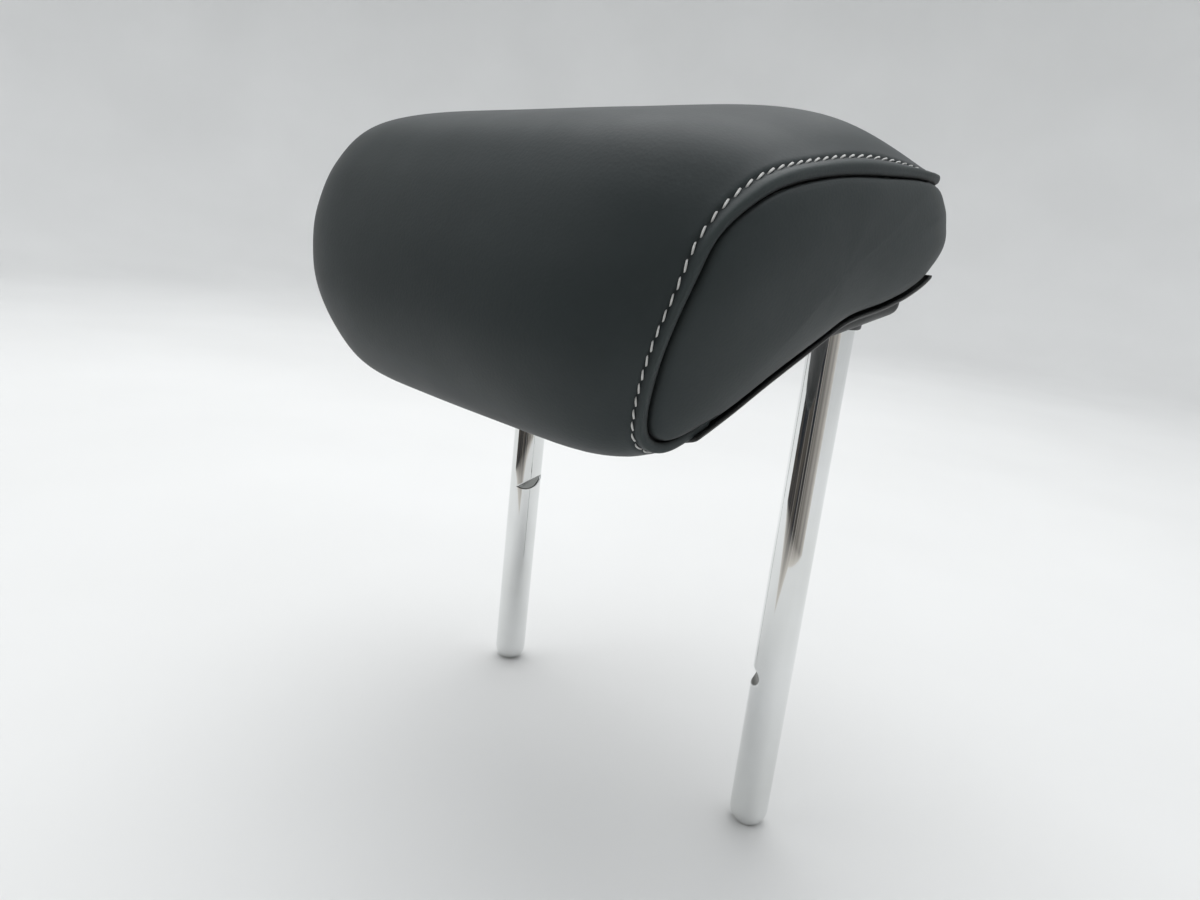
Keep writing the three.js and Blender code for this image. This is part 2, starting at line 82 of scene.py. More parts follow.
def loop_at(u):
    """The outline at fractions u of the loop, as a closed Catmull-Rom curve."""
    x = (np.asarray(u, float) % 1.0) * ROWS
    i = np.floor(x).astype(int)
    w = (x - i)[..., None]
    p0, p1, p2, p3 = (OUTLINE[(i + k) % ROWS] for k in (-1, 0, 1, 2))
    a, b = (p2 - p0) / 2, (p3 - p1) / 2
    return ((2 * p1 - 2 * p2 + a + b) * w + (3 * p2 - 3 * p1 - 2 * a - b)) * w * w + a * w + p1


def strip_at(s, u):
    """The surface between the side seams: s from -1 to 1 across, u round the loop."""
    o = loop_at(u)
    s = np.broadcast_to(s, o.shape[:-1])
    crown = 1 - np.abs(s) ** CROWN_POWER
    y = o[..., 0] + (o[..., 3] - o[..., 0]) * crown
    z = o[..., 1] + (o[..., 4] - o[..., 1]) * crown
    return np.stack([s * o[..., 2], y, z], -1)


# Loop fractions against distance round the cushion, and against distance along the side seam.
FINE = np.linspace(-0.25, 1.25, 6001)
fine_loop = loop_at(FINE)
seam_step = np.linalg.norm(np.diff(fine_loop[:, [2, 0, 1]], axis=0), axis=1)
middle_step = np.linalg.norm(np.diff(fine_loop[:, 3:], axis=0), axis=1)
seam_run = np.r_[0, np.cumsum(seam_step)]
loop_run = np.r_[0, np.cumsum((seam_step + middle_step) / 2)]
seam_run -= np.interp(U_REAR, FINE, seam_run)
loop_run -= np.interp(0, FINE, loop_run)
LOOP_LENGTH = float(np.interp(1, FINE, loop_run))
SEAM_LENGTH = float(np.interp(U_LIP, FINE, seam_run))


def u_of_seam(tau):
    """Loop fraction at a distance along the side seam from the top panel's rear edge."""
    return np.interp(tau, seam_run, FINE)


def seam_of_u(u):
    """Distance along the side seam, below zero behind the top panel's rear edge."""
    u = np.asarray(u, float)
    return np.interp(np.where(u > U_UNDER - 0.04, u - 1, u), FINE, seam_run)


# ---- the padded form: pole to pole, left side panel, strip, right side panel ----
AROUND = 128                # columns round the loop
ACROSS = 44                 # rows between the side seams
CAP = 12                    # rows on a side panel
SOFTENING_PASSES = 9
# How much the turn onto the side panels is softened: loop fraction, share.
SOFTENING = [(0.52, 0), (0.57, 0.35), (0.78, 0.35), (0.83, 0.9), (0.915, 0.9), (0.955, 0.4),
             (0.98, 0.3), (1, 0)]


def s_of_zeta(zeta):
    """Place across the strip of evenly counted rows, which crowd together near the side seams."""
    return 0.6 * zeta + 0.4 * np.sin(zeta * math.pi / 2)


ZETA_TABLE = np.linspace(-1, 1, 401)
S_TABLE = s_of_zeta(ZETA_TABLE)


def row_of_s(s):
    return CAP + (np.interp(s, S_TABLE, ZETA_TABLE) + 1) / 2 * ACROSS


def column_of_u(u):
    return np.interp(np.asarray(u, float) % 1.0, FINE, loop_run) / LOOP_LENGTH * AROUND


def u_of_column(j):
    return np.interp(np.asarray(j, float) / AROUND * LOOP_LENGTH, loop_run, FINE)


def membrane(rim, rim_x, points):
    """The plainest sheet through the rim, as x, and the height of a sheet blown up from it, up to 1."""
    centre = rim.mean(0)
    along = np.roll(rim, -1, 0) - np.roll(rim, 1, 0)
    outward = np.column_stack([along[:, 1], -along[:, 0]])
    outward /= np.linalg.norm(outward, axis=1, keepdims=True)
    outward *= np.sign(((rim - centre) * outward).sum(1).mean())
    sources = (rim + outward * MEMBRANE_OFFSET)[::SOURCE_STEP]

    def basis(p):
        gaps = np.linalg.norm(p[:, None] - sources, axis=2) / MEMBRANE_SCALE
        return np.column_stack([np.log(gaps), np.ones(len(p))])

    def pressure(p):
        return -(((p - centre) / MEMBRANE_SCALE) ** 2).sum(1) / 4

    weights = np.linalg.lstsq(basis(rim), np.column_stack([rim_x, -pressure(rim)]), rcond=1e-8)[0]
    fitted = basis(points) @ weights
    height = pressure(points) + fitted[:, 1]
    return fitted[:, 0], np.clip(height / height.max(), 0, 1)


def soften_corners(points, u):
    """Rounds the turn from the sides to the back most, and to the underside a little."""
    share = np.interp(u % 1, [a for a, _ in SOFTENING], [b for _, b in SOFTENING])[:, None, None]
    for _ in range(SOFTENING_PASSES):
        middle = (points[:, :-2] + 2 * points[:, 1:-1] + points[:, 2:]) / 4
        points[:, 2:-2] += (middle - points[:, 1:-1])[:, 1:-1] * share
    return points


def nominal_form():
    """Points of the closed form, columns by rows, with a pole at each end."""
    u = u_of_column(np.arange(AROUND))
    s = s_of_zeta(np.linspace(-1, 1, ACROSS + 1))
    strip = strip_at(s[None, :], np.repeat(u[:, None], ACROSS + 1, 1))
    r = (np.arange(CAP) / CAP)[None, :, None]
    rim = loop_at(u_of_seam(np.linspace(0, np.interp(1, FINE, seam_run) - seam_run[0], 361)[:-1]))

    def cap(edge, sign):
        centre = edge.mean(0)
        points = centre + (edge[:, None] - centre) * r
        flat, height = membrane(rim[:, :2], rim[:, 2], points[..., 1:].reshape(-1, 2))
        crowned = flat + SIDE_BULGE * (1 - (1 - height) ** SIDE_POWER)
        points[..., 0] = sign * crowned.reshape(points.shape[:2])
        return points

    left = cap(strip[:, 0], -1)
    right = cap(strip[:, -1], 1)
    return soften_corners(np.concatenate([left, strip, right[:, ::-1]], 1), u)


def cubic_weights(w):
    """Catmull-Rom weights of the four nodes round a fraction w."""
    return (w * (-0.5 + w * (1 - 0.5 * w)), 1 + w * w * (1.5 * w - 2.5),
            w * (0.5 + w * (2 - 1.5 * w)), w * w * (0.5 * w - 0.5))


class Form:
    """A closed form as a smooth surface over (column, row)."""

    def __init__(self, points):
        self.points = points
        self.rows = points.shape[1] - 1

    def at(self, j, m):
        j, m = np.broadcast_arrays(np.asarray(j, float), np.asarray(m, float))
        m = np.clip(m, 0, self.rows)
        j0, m0 = np.floor(j).astype(int), np.minimum(np.floor(m).astype(int), self.rows - 1)
        total = np.zeros(j.shape + (3,))
        for a, wa in enumerate(cubic_weights(j - j0)):
            for b, wb in enumerate(cubic_weights(m - m0)):
                row = np.clip(m0 + b - 1, 0, self.rows)
                total += (wa * wb)[..., None] * self.points[(j0 + a - 1) % AROUND, row]
        return total

    def normal(self, j, m, step=0.2):
        along = self.at(np.asarray(j) + step, m) - self.at(np.asarray(j) - step, m)
        across = self.at(j, np.asarray(m) + step) - self.at(j, np.asarray(m) - step)
        n = np.cross(along, across)
        size = np.linalg.norm(n, axis=-1, keepdims=True)
        sideways = np.zeros_like(n)
        sideways[..., 0] = np.where(np.asarray(m) < self.rows / 2, -1, 1)
        return np.where(size > 1e-6, n / np.maximum(size, 1e-9), sideways)


# ---- the top panel's edge in its flat domain ----
CORNER = 12.0               # radius of the top panel's rear corners, and width of its edge band


def half_width(u):
    return loop_at(u)[..., 2]


# Distance over the surface from the side seam inwards, down to REACH_END of the half width.
REACH_END = 0.6
REACH_U = np.linspace(0, 1, 169)
REACH_S = np.linspace(1, REACH_END, 241)
reach_lines = strip_at(REACH_S[None, :], np.repeat(REACH_U[:, None], len(REACH_S), 1))
reach_steps = np.linalg.norm(np.diff(reach_lines, axis=1), axis=2)
REACH = np.concatenate([np.zeros((len(REACH_U), 1)), np.cumsum(reach_steps, 1)], 1)


def s_at_reach(distance, u):
    """The |s| that lies a distance in from the side seam, measured over the surface."""
    row = (float(u) % 1) * (len(REACH_U) - 1)
    k = min(int(row), len(REACH_U) - 2)
    line = REACH[k] + (REACH[k + 1] - REACH[k]) * (row - k)
    return float(np.interp(distance, line, REACH_S))


def side_reach(s, u):
    """Distance over the surface from the side seam to a point of the strip."""
    row = (np.asarray(u, float) % 1) * (len(REACH_U) - 1)
    k = np.minimum(row.astype(int), len(REACH_U) - 2)
    spot = np.clip((1 - np.abs(s)) / (1 - REACH_END), 0, 1) * (len(REACH_S) - 1)
    m = np.minimum(spot.astype(int), len(REACH_S) - 2)
    a, b = row - k, spot - m
    low = REACH[k, m] * (1 - b) + REACH[k, m + 1] * b
    high = REACH[k + 1, m] * (1 - b) + REACH[k + 1, m + 1] * b
    return low * (1 - a) + high * a


def inside_edge(s, u):
    """How far inside the top panel's edge a point of the strip is, below zero outside it."""
    side = side_reach(s, u)
    rear = seam_of_u(u)
    in_corner = (side < CORNER) & (rear < CORNER)
    rounded = CORNER - np.hypot(CORNER - side, CORNER - rear)
    return np.where(in_corner, rounded, np.minimum(side, rear))


# ---- mesh helpers ----
def new_object(name, points, faces):
    """A smooth-shaded object in the scene from points in millimetres."""
    mesh = bpy.data.meshes.new(name)
    mesh.from_pydata((np.asarray(points) * MM).tolist(), [], [tuple(map(int, f)) for f in faces])
    mesh.update()
    mesh.polygons.foreach_set("use_smooth", [True] * len(mesh.polygons))
    made = bpy.data.objects.new(name, mesh)
    bpy.context.scene.collection.objects.link(made)
    return made


def tidy_mesh(made, merge=0.02):
    """Merges doubled points, drops loose ones and turns the faces outwards."""
    bm = bmesh.new()
    bm.from_mesh(made.data)
    bmesh.ops.remove_doubles(bm, verts=bm.verts, dist=merge * MM)
    bmesh.ops.dissolve_degenerate(bm, edges=bm.edges, dist=1e-6)
    bmesh.ops.delete(bm, geom=[v for v in bm.verts if not v.link_faces], context="VERTS")
    bmesh.ops.recalc_face_normals(bm, faces=bm.faces)
    bm.to_mesh(made.data)
    bm.free()
    made.data.polygons.foreach_set("use_smooth", [True] * len(made.data.polygons))
    made.data.update()
    return made


def apply_modifiers(made):
    depsgraph = bpy.context.evaluated_depsgraph_get()
    mesh = bpy.data.meshes.new_from_object(made.evaluated_get(depsgraph))
    made.modifiers.clear()
    made.data = mesh
    return made


def grid_faces(rows, columns, start=0, close_columns=False):
    """Quads of a grid of points stored row by row."""
    last = columns if close_columns else columns - 1
    k = np.arange(last)
    a = start + np.arange(rows - 1)[:, None] * columns + k[None, :]
    b = start + np.arange(rows - 1)[:, None] * columns + (k[None, :] + 1) % columns
    return np.stack([a, b, b + columns, a + columns], -1).reshape(-1, 4).tolist()


def set_attribute(made, name, values):
    layer = made.data.attributes.get(name) or made.data.attributes.new(name, "FLOAT", "POINT")
    layer.data.foreach_set("value", np.asarray(values, np.float32))


# ---- the top panel's edge, station by station ----
STITCH_PITCH = 4.0
STATIONS_PER_STITCH = 3
STITCH_INSET = 5.8          # from the panel's edge to the row of stitches


def edge_path():
    """Stations (kind, side, place) from the right lip round the back to the left lip, and the
    number of steps along a side and along the back."""
    side = int(round((SEAM_LENGTH - CORNER) / STITCH_PITCH)) * STATIONS_PER_STITCH
    back = int(round(2 * (np.mean(half_width(U_REAR)) - CORNER) / STITCH_PITCH)) * STATIONS_PER_STITCH
    tau = np.linspace(SEAM_LENGTH, CORNER, side + 1)
    turn = np.linspace(0, math.pi / 2, 4 * STATIONS_PER_STITCH + 1)
    across = np.linspace(1, -1, back + 1)
    right = [("side", 1, t) for t in tau] + [("corner", 1, a) for a in turn[1:-1]]
    left = [("corner", -1, a) for a in turn[::-1][1:-1]] + [("side", -1, t) for t in tau[::-1]]
    return right + [("back", p, 0) for p in across] + left, side, back


def panel_point(station, inset):
    """(s, u) of the point a distance inside the edge at a station."""
    kind, sign, place = station
    if kind == "side":
        u = float(u_of_seam(place))
        return sign * s_at_reach(inset, u), u
    if kind == "back":
        u = float(u_of_seam(inset))
        return sign * s_at_reach(CORNER, u), u
    side = CORNER - (CORNER - inset) * math.cos(place)
    u = float(u_of_seam(CORNER - (CORNER - inset) * math.sin(place)))
    return sign * s_at_reach(side, u), u


# ---- padding: slight relief from a cloth simulation ----
SWELL_START = 0.5           # the panels start this far inside the nominal surface
SWELL_CAP = 1.5             # how far a point may move outwards from there
PIN_REACH = 9.0             # the panels are held near the seams over this distance
PIN_BEFORE_LIP = 0.02       # the underside is held from this far before the lip (loop fraction)
PIN_AFTER_UNDER = 0.03      # to this far past the rear panel's lower edge
PIN_CAP_SHARE = 0.4         # on a side panel that hold fades out over this share of the way in
CLOTH_FRAMES = 20
CLOTH_SHRINK = -0.006       # below zero, so the cloth grows a little
CLOTH_PRESSURE = 4.0
SMOOTHING_PASSES = 10


def edge_line(surface):
    """Points along the top panel's edge, from the right lip round the back to the left lip."""
    stations, _, _ = edge_path()
    spots = np.array([panel_point(station, 0) for station in stations])
    line = surface.at(column_of_u(spots[:, 1]), row_of_s(spots[:, 0]))
    between = [line[:-1] + (line[1:] - line[:-1]) * part / 4 for part in range(4)]
    return np.concatenate(between)


def distance_to(points, targets):
    tree = KDTree(len(targets))
    for i, p in enumerate(targets):
        tree.insert(p, i)
    tree.balance()
    return np.array([tree.find(p)[2] for p in points])


def rows_from_pole(rows):
    """Each row's distance from the nearer pole, where a side panel's rim is at 1."""
    return np.minimum(np.arange(rows), rows - 1 - np.arange(rows)) / CAP


def freedom(nominal):
    """How free each point of the form is to swell: 0 held, 1 free."""
    columns, rows = nominal.points.shape[:2]
    u = np.repeat(u_of_column(np.arange(columns))[:, None], rows, 1)
    seam_gap = distance_to(nominal.points.reshape(-1, 3), edge_line(nominal)).reshape(columns, rows)
    below = (u % 1 > U_LIP - PIN_BEFORE_LIP) & (u % 1 < U_UNDER + PIN_AFTER_UNDER)
    on_underside = np.clip((1 - rows_from_pole(rows)) / PIN_CAP_SHARE, 0, 1)
    return np.clip(seam_gap / PIN_REACH, 0, 1) * np.where(below, on_underside, 1.0)


def closed_faces(columns, rows):
    """Faces of the closed grid, with one fan of triangles at each pole."""
    index = np.arange(columns * rows).reshape(columns, rows)
    faces = []
    for c in range(columns):
        d = (c + 1) % columns
        faces += [(index[c, k], index[d, k], index[d, k + 1], index[c, k + 1]) for k in range(1, rows - 2)]
        faces.append((index[0, 0], index[d, 1], index[c, 1]))
        faces.append((index[0, rows - 1], index[c, rows - 2], index[d, rows - 2]))
    return faces


def blown_up(start, free):
    """Where a cloth under pressure carries the points of the closed grid."""
    columns, rows = free.shape
    pad = new_object("swelling_pad", start.reshape(-1, 3), closed_faces(columns, rows))
    group = pad.vertex_groups.new(name="held")
    for i, weight in enumerate(np.clip(1 - free, 0, 1).reshape(-1)):
        group.add([i], float(weight), "REPLACE")
    cloth = pad.modifiers.new("Cloth", "CLOTH")
    settings = cloth.settings
    settings.quality = 6
    settings.tension_stiffness = 5
    settings.compression_stiffness = 5
    settings.bending_stiffness = 0.05
    settings.shrink_min = CLOTH_SHRINK
    settings.use_pressure = True
    settings.uniform_pressure_force = CLOTH_PRESSURE
    settings.vertex_group_mass = "held"
    settings.effector_weights.gravity = 0.0
    cloth.collision_settings.use_collision = False
    scene = bpy.context.scene
    for number in range(1, CLOTH_FRAMES + 1):
        scene.frame_set(number)
    moved = np.zeros(len(pad.data.vertices) * 3)
    pad.evaluated_get(bpy.context.evaluated_depsgraph_get()).data.vertices.foreach_get("co", moved)
    scene.frame_set(1)
    bpy.data.objects.remove(pad)
    moved = moved.reshape(columns, rows, 3) / MM
    moved[:, 0], moved[:, -1] = moved[0, 0], moved[0, -1]
    return moved


def swollen_form():
    """The nominal form with the simulation's movement along its normals, limited and smoothed."""
    points = nominal_form()
    nominal = Form(points)
    columns, rows = points.shape[:2]
    free = freedom(nominal)
    j, m = np.meshgrid(np.arange(columns), np.arange(rows), indexing="ij")
    normals = nominal.normal(j, m)
    start = points - normals * (SWELL_START * free)[..., None]
    shift = ((blown_up(start, free) - start) * normals).sum(-1)
    shift = np.clip(shift, 0, SWELL_CAP) - SWELL_START * free
    # Folds that gather at the middle of a side panel are evened out round it.
    even = np.clip(1.3 - 2 * rows_from_pole(rows), 0, 1)
    shift = shift * (1 - even) + shift.mean(0) * even
    for _ in range(SMOOTHING_PASSES):
        shift = (2 * shift + np.roll(shift, 1, 0) + np.roll(shift, -1, 0)) / 4
        shift[:, 1:-1] = (2 * shift[:, 1:-1] + shift[:, 2:] + shift[:, :-2]) / 4
        shift[:, 0], shift[:, -1] = shift[:, 1].mean(), shift[:, -2].mean()
    return points + normals * shift[..., None]


form = Form(swollen_form())


# ---- materials ----
def material(name, colour, roughness, metallic=0.0):
    made = bpy.data.materials.new(name)
    made.use_nodes = True
    shader = made.node_tree.nodes["Principled BSDF"]
    shader.inputs["Base Color"].default_value = (*colour, 1)
    shader.inputs["Roughness"].default_value = roughness
    shader.inputs["Metallic"].default_value = metallic
    return made, made.node_tree, shader


def node(tree, kind, settings=None, **inputs):
    made = tree.nodes.new(kind)
    for key, value in (settings or {}).items():
        setattr(made, key, value)
    for key, value in inputs.items():
        made.inputs[key.replace("_", " ")].default_value = value
    return made


def object_coordinates(tree):
    return tree.nodes.new("ShaderNodeTexCoord").outputs["Object"]


def noise(tree, scale, detail=3.0, roughness=0.5):
    made = node(tree, "ShaderNodeTexNoise", Scale=scale, Detail=detail, Roughness=roughness)
    tree.links.new(object_coordinates(tree), made.inputs["Vector"])
    return made.outputs["Fac"]


def remap(tree, value, low, high, to_low, to_high):
    made = node(tree, "ShaderNodeMapRange", From_Min=low, From_Max=high, To_Min=to_low, To_Max=to_high)
    tree.links.new(value, made.inputs["Value"])
    return made.outputs["Result"]


def mix_colours(tree, factor, a, b):
    made = node(tree, "ShaderNodeMix", {"data_type": "RGBA"})
    tree.links.new(factor, made.inputs[0])
    for socket, value in ((6, a), (7, b)):
        if isinstance(value, tuple):
            made.inputs[socket].default_value = (*value, 1)
        else:
            tree.links.new(value, made.inputs[socket])
    return made.outputs[2]


def add_bump(tree, shader, heights):
    """Bump from (height output, strength, distance in metres), chained."""
    previous = None
    for height, strength, distance in heights:
        bump = node(tree, "ShaderNodeBump", Strength=strength, Distance=distance)
        tree.links.new(height, bump.inputs["Height"])
        if previous:
            tree.links.new(previous, bump.inputs["Normal"])
        previous = bump.outputs["Normal"]
    tree.links.new(previous, shader.inputs["Normal"])


def attribute(tree, name):
    return node(tree, "ShaderNodeAttribute", {"attribute_name": name}).outputs["Fac"]


def leather_material():
    made, tree, shader = material("leather", (0.04, 0.044, 0.045), 0.5)
    tone = mix_colours(tree, remap(tree, noise(tree, 14, 4), 0.35, 0.65, 0, 1),
                       (0.0235, 0.0300, 0.0308), (0.0275, 0.0345, 0.0358))
    worn = mix_colours(tree, attribute(tree, "wear"), tone, (0.037, 0.046, 0.046))
    # Painted shade: the leather is darkened almost to black in the stitch groove, in the seam and on the
    # panels' hidden backs.
    seam_shaded = mix_colours(tree, attribute(tree, "painted_seam_shade"), worn, (0.006, 0.007, 0.007))
    tree.links.new(seam_shaded, shader.inputs["Base Color"])
    tree.links.new(remap(tree, noise(tree, 35, 3), 0.3, 0.7, 0.50, 0.58), shader.inputs["Roughness"])
    shader.inputs["Specular IOR Level"].default_value = 0.22
    shader.inputs["Sheen Weight"].default_value = 0.05
    shader.inputs["Sheen Roughness"].default_value = 0.45
    cells = node(tree, "ShaderNodeTexVoronoi", {"feature": "F1"}, Scale=950.0, Randomness=1.0)
    tree.links.new(object_coordinates(tree), cells.inputs["Vector"])
    add_bump(tree, shader, [
        (cells.outputs["Distance"], 0.13, 0.0002),
        (noise(tree, 700, 3, 0.6), 0.06, 0.0002),
        (noise(tree, 60, 2), 0.03, 0.0008),
    ])
    return made


def thread_material():
    made, tree, shader = material("thread", (0.5, 0.5, 0.48), 0.7)
    tone = mix_colours(tree, remap(tree, noise(tree, 900, 2), 0.3, 0.7, 0, 1),
                       (0.42, 0.42, 0.40), (0.62, 0.62, 0.60))
    tree.links.new(tone, shader.inputs["Base Color"])
    shader.inputs["Sheen Weight"].default_value = 0.3
    add_bump(tree, shader, [(noise(tree, 2600, 2), 0.4, 0.0001)])
    return made


def chrome_material():
    made, tree, shader = material("chrome", (0.82, 0.83, 0.84), 0.06, 1.0)
    polish = remap(tree, noise(tree, 45, 4), 0.3, 0.7, 0.03, 0.08)
    cut = attribute(tree, "cut")
    rough = node(tree, "ShaderNodeMath", {"operation": "MULTIPLY_ADD"})
    tree.links.new(cut, rough.inputs[0])
    rough.inputs[1].default_value = 0.3
    tree.links.new(polish, rough.inputs[2])
    tree.links.new(rough.outputs["Value"], shader.inputs["Roughness"])
    tone = mix_colours(tree, remap(tree, noise(tree, 25, 3), 0.4, 0.7, 0, 1),
                       (0.80, 0.81, 0.81), (0.73, 0.74, 0.73))
    tree.links.new(mix_colours(tree, cut, tone, (0.16, 0.16, 0.15)), shader.inputs["Base Color"])
    stretched = node(tree, "ShaderNodeMapping", Scale=(1.0, 1.0, 0.05))
    tree.links.new(object_coordinates(tree), stretched.inputs["Vector"])
    lines = node(tree, "ShaderNodeTexNoise", Scale=900.0, Detail=2.0)
    tree.links.new(stretched.outputs["Vector"], lines.inputs["Vector"])
    add_bump(tree, shader, [(lines.outputs["Fac"], 0.03, 0.0001)])
    return made


def moulded_material(name, colour, roughness, metallic=0.0):
    """A plain finish with a fine grain and a slightly uneven tone."""
    made, tree, shader = material(name, colour, roughness, metallic)
    light = tuple(min(c * 1.5 + 0.004, 1) for c in colour)
    tone = mix_colours(tree, remap(tree, noise(tree, 30, 4), 0.35, 0.7, 0, 1), colour, light)
    tree.links.new(tone, shader.inputs["Base Color"])
    tree.links.new(remap(tree, noise(tree, 80, 3), 0.3, 0.7, roughness - 0.06, roughness + 0.06),
                   shader.inputs["Roughness"])
    add_bump(tree, shader, [(noise(tree, 1500, 3, 0.6), 0.25, 0.0002)])
    return made


MATERIALS = {
    "leather": leather_material(),
    "thread": thread_material(),
    "chrome": chrome_material(),
    "trim": moulded_material("trim", (0.012, 0.013, 0.013), 0.5),
    "core": moulded_material("core", (0.03, 0.032, 0.034), 0.55),
    "foam": moulded_material("foam", (0.66, 0.60, 0.40), 0.9),
    "tape": moulded_material("tape", (0.72, 0.71, 0.66), 0.85),
    "screw": moulded_material("screw", (0.45, 0.46, 0.48), 0.35, 1.0),
}


def dress(made, slot_name, *replaced):
    """Gives a piece its material, its body and the CAD nodes that it stands in for."""
    made.data.materials.clear()
    made.data.materials.append(MATERIALS[slot_name])
    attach(made, BODY)
    if replaced:
        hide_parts(*replaced)
    return made


# ---- top panel ----
# The panel's section across its edge: distance inside the edge, height above the surface.
EDGE_TOP = [(12, 0), (10.5, 0.02), (9, 0.08), (8, 0.18), (7.2, 0.22), (6.6, 0.1), (6.2, -0.12),
            (5.8, -0.24), (5.4, -0.1), (5, 0.22), (4.4, 0.62), (3.7, 0.95), (3.1, 1.14), (2.6, 1.2),
            (2.2, 1.12), (1.8, 0.9), (1.35, 0.56), (0.9, 0.14), (0.55, -0.25), (0.25, -0.7), (0.1, -1.1)]
PANEL_BACK = -1.6           # height of the panel's back
EDGE_UNDER = [(0.3, -1.35), (0.8, -1.55)] + [(inset, PANEL_BACK) for inset in (1.4, 2.4, 4, 8, CORNER)]
REAR_RISE = 1.1             # the panel's rear edge stands this much prouder
STITCH_PULL = 0.16          # how far a stitch pulls the leather down
PULL_REACH = 0.8
FRONT_FACE = -0.8           # section points above this height belong to the panel's front


def on_form(s, u, height):
    j, m = column_of_u(u), row_of_s(s)
    return form.at(j, m) + form.normal(j, m) * np.asarray(height)[..., None]


def rear_share(stations):
    """1 along the back, falling to 0 round the corners."""
    turn = {"side": lambda place: 0.0, "back": lambda place: 1.0,
            "corner": lambda place: 1 - (1 - math.sin(place)) ** 0.8}
    return np.array([turn[kind](place) for kind, _, place in stations])


def top_panel():
    """The top and front leather, with its padded edge, from the rear seam to the lower lip."""
    stations, side, back = edge_path()
    profile = EDGE_TOP + EDGE_UNDER
    s_u = np.array([[panel_point(station, inset) for station in stations] for inset, _ in profile])
    heights = np.repeat(np.array([h for _, h in profile])[:, None], len(stations), 1)
    # Each stitch pulls the leather down at its two needle holes.
    beat = np.arange(len(stations)) % STATIONS_PER_STITCH == 0
    for row, (inset, height) in enumerate(profile):
        pull = math.exp(-((inset - STITCH_INSET) / PULL_REACH) ** 2) if height > FRONT_FACE else 0
        heights[row] -= np.where(beat, STITCH_PULL, 0.0) * pull
        lift = np.interp(inset, [0, 1, 5], [1, 1, 0]) if height > FRONT_FACE else 0
        heights[row] += REAR_RISE * lift * rear_share(stations)
    band = on_form(s_u[..., 0], s_u[..., 1], heights)
    points = [band.reshape(-1, 3)]
    faces = grid_faces(len(profile), len(stations))
    insets = np.repeat(np.array([i for i, _ in profile])[:, None], len(stations), 1).reshape(-1)
    tops = np.repeat(np.array([h for _, h in profile])[:, None], len(stations), 1).reshape(-1)

    # Inside the band a plain grid carries on to the lower edge, front and back of the leather.
    tau = np.linspace(SEAM_LENGTH, CORNER, side + 1)
    across = np.linspace(1, -1, back + 1)
    u = u_of_seam(tau)
    s = across[None, :] * np.array([s_at_reach(CORNER, place) for place in u])[:, None]
    grids = []
    for height in (0.0, PANEL_BACK):
        start = sum(len(p) for p in points)
        grid = on_form(s, np.repeat(u[:, None], back + 1, 1), np.full(s.shape, height))
        points.append(grid.reshape(-1, 3))
        faces += grid_faces(side + 1, back + 1, start)
        grids.append(start)
    insets = np.r_[insets, np.full(2 * s.size, CORNER)]
    tops = np.r_[tops, np.zeros(s.size), np.full(s.size, PANEL_BACK)]
    # The lower edge closes between the leather's front and back.
    faces += [(grids[0] + k, grids[0] + k + 1, grids[1] + k + 1, grids[1] + k) for k in range(back)]
    count = len(stations)
    for end in (0, count - 1):
        top = [row * count + end for row in range(len(EDGE_TOP))]
        under = [(len(EDGE_TOP) + row) * count + end for row in range(len(EDGE_UNDER))]
        faces.append(top + under)
    made = new_object("top_panel", np.concatenate(points), faces)
    wear = np.where(tops > 0.6, (tops - 0.6) / 0.5, 0) * 0.8
    # Painted shade along the row of stitches and on the edge where it rolls under, below the surface.
    painted_seam_shade = np.exp(-((insets - STITCH_INSET) / 0.7) ** 2) * 0.25 + np.clip(-0.1 - tops, 0, 1)
    set_attribute(made, "wear", wear)
    set_attribute(made, "painted_seam_shade", np.clip(np.where(insets >= CORNER, 0, painted_seam_shade), 0, 1))
    return tidy_mesh(made)


# ---- side and rear panels ----
# The leather's height against distance outside the top panel's edge, where it dips into the seam.
SUNK = [(-3, -2.6), (-0.4, -2.5), (0.2, -2.1), (0.8, -1.15), (1.6, -0.45), (2.6, -0.1), (4, 0)]
UNDER_TOP = 7.0             # how far the side leather runs on under the top panel
SIDE_THICKNESS = 1.6
OPEN_HALF = 0.86            # the underside is left open within this share of the half width
FRONT_GAP = 5.0             # least distance from the edge on the underside, which keeps it out of the seam


